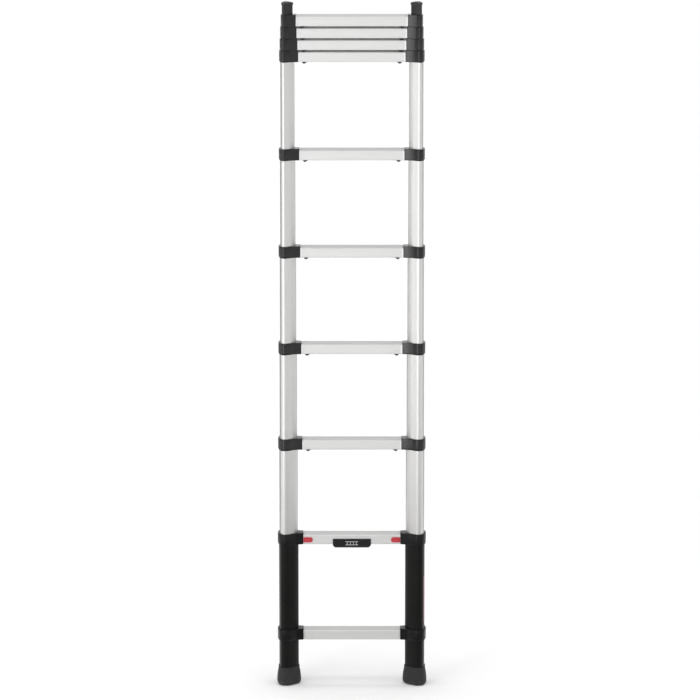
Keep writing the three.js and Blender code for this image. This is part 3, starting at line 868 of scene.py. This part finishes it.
for each_side in SIDES:
    make_foot(each_side)
    make_end_cap(each_side)
    make_button(each_side)
    for number in range(1, TUBES + 1):
        make_tube(number, each_side)
    for number in range(1, RUNGS + 1):
        make_collar(number, each_side)
    for number in range(3, RUNGS + 1):
        make_trigger(number, each_side)
for number in range(1, RUNGS + 1):
    make_rung(number)
make_badge()
make_pictogram()
make_label()
dress_steel()


# ---- Floor, light and camera ----------------------------------------------------------------------

def make_floor():
    """A matt white floor that reaches far out of view."""
    mesh = bmesh.new()
    bmesh.ops.create_grid(mesh, x_segments=1, y_segments=1, size=60)
    floor = to_object(mesh, "floor")
    finish = Finish("floor_paint")
    finish.set(roughness=0.9, specular_ior_level=0.1)
    finish.drive("Base Color", finish.ramp(finish.noise(0.8), [(0.3, 0.90), (0.7, 0.92)]))
    floor.data.materials.append(finish.material)


def make_world():
    """A white studio, brightest behind the ladder and greyer above it, in front and on the right."""
    world = bpy.data.worlds.new("studio")
    bpy.context.scene.world = world
    world.use_nodes = True
    nodes, links = world.node_tree.nodes, world.node_tree.links
    split = nodes.new("ShaderNodeSeparateXYZ")
    links.new(nodes.new("ShaderNodeTexCoord").outputs["Generated"], split.inputs["Vector"])

    def ramp(axis, stops):
        """Brightness by how far a direction points along an axis, from -1 to 1."""
        node = nodes.new("ShaderNodeValToRGB")
        shift = nodes.new("ShaderNodeMapRange")
        shift.inputs["From Min"].default_value = -1
        shift.inputs["From Max"].default_value = 1
        links.new(split.outputs[axis], shift.inputs["Value"])
        links.new(shift.outputs["Result"], node.inputs["Fac"])
        elements = node.color_ramp.elements
        while len(elements) < len(stops):
            elements.new(0.5)
        for element, (place, grey) in zip(elements, stops):
            element.position = (place + 1) / 2
            element.color = (grey, grey, grey, 1)
        return node.outputs["Color"]

    def multiply(first, second):
        node = nodes.new("ShaderNodeMix")
        node.data_type = "RGBA"
        node.blend_type = "MULTIPLY"
        node.inputs["Factor"].default_value = 1
        links.new(first, node.inputs[MIX_FIRST])
        links.new(second, node.inputs[MIX_SECOND])
        return node.outputs[MIX_RESULT]

    ceiling = ramp("Z", [(0.0, 1.0), (0.08, 1.0), (0.40, 0.55), (1.0, 0.60)])
    sides = ramp("X", [(-1.0, 1.0), (0.0, 1.0), (1.0, 0.88)])
    depth = ramp("Y", [(-1.0, 0.80), (0.0, 0.88), (0.6, 1.0), (1.0, 1.0)])
    background = nodes["Background"]
    background.inputs["Strength"].default_value = 1.06
    links.new(multiply(multiply(ceiling, sides), depth), background.inputs["Color"])


def aim(piece, location, target):
    """Puts a light into the scene at its place, turned to shine at the target."""
    piece.location = location
    piece.rotation_euler = (Vector(target) - Vector(location)).to_track_quat("-Z", "Y").to_euler()
    bpy.context.scene.collection.objects.link(piece)


def add_softbox(name, location, target, size, power):
    """A rectangular light that the camera doesn't see."""
    data = bpy.data.lights.new(name, "AREA")
    data.shape = "RECTANGLE"
    data.size, data.size_y = size
    data.energy = power
    light = bpy.data.objects.new(name, data)
    light.visible_camera = False
    aim(light, location, target)


def add_overhead(strength):
    """Broad light from straight above, which whitens the floor and hardly touches upright faces."""
    data = bpy.data.lights.new("overhead", "SUN")
    data.energy = strength
    data.angle = math.radians(50)
    aim(bpy.data.objects.new("overhead", data), (0, 0, 6), (0, 0, 0))


def add_card(name, corners, grey):
    """A flat grey card that is seen only in reflections."""
    mesh = bmesh.new()
    mesh.faces.new([mesh.verts.new(corner) for corner in corners])
    card = to_object(mesh, name)
    card.visible_camera = False
    card.visible_diffuse = False
    card.visible_shadow = False
    finish = Finish(name)
    finish.set(base_color=(grey, grey, grey, 1), roughness=0.9)
    card.data.materials.append(finish.material)
    return card


def add_flag(name, location, size, grey):
    """An upright card behind the ladder and facing it, which draws the edge of a shiny tube."""
    half_width, height = size[0] / 2, size[1]
    corners = [(-half_width, 0, 0), (half_width, 0, 0), (half_width, 0, height), (-half_width, 0, height)]
    flag = add_card(name, corners, grey)
    flag.location = location
    flag.rotation_euler = (0, 0, math.atan2(location[1], location[0]) + math.pi / 2)


def add_floor_card(grey):
    """A card on the floor in front, which deepens the lower end of the ladder."""
    level, half_width, near, far = 0.004, 1.6, -0.20, -1.9
    corners = [(-half_width, far, level), (half_width, far, level), (half_width, near, level),
               (-half_width, near, level)]
    add_card("floor_card", corners, grey)


def make_camera():
    """In front of the ladder and above its top, with a long lens that keeps its sides almost parallel."""
    data = bpy.data.cameras.new("camera")
    data.sensor_width = 36
    data.lens = 204.7
    camera = bpy.data.objects.new("camera", data)
    camera.location = (-0.0057, -12.0, 3.40)
    camera.rotation_euler = (math.radians(90 - 11.05), 0, 0)
    bpy.context.scene.collection.objects.link(camera)
    bpy.context.scene.camera = camera


bpy.context.scene.view_settings.view_transform = "Standard"
make_floor()
make_world()
add_overhead(1.75)
add_softbox("front_box", (-1.78, -2.66, 1.3), (0, 0, 1.1), (1.30, 2.6), 14)
add_softbox("front_core", (-1.64, -2.60, 1.3), (0, 0, 1.1), (0.32, 2.6), 6)
add_softbox("left_strip", (-3.14, -0.61, 1.3), (0, 0, 1.1), (0.65, 2.6), 6)
add_flag("left_flag", (-1.2, 1.45, 0.0), (1.3, 3.2), 0.35)
add_flag("right_flag", (1.1, 1.55, 0.0), (0.9, 3.2), 0.45)
add_floor_card(0.30)
make_camera()
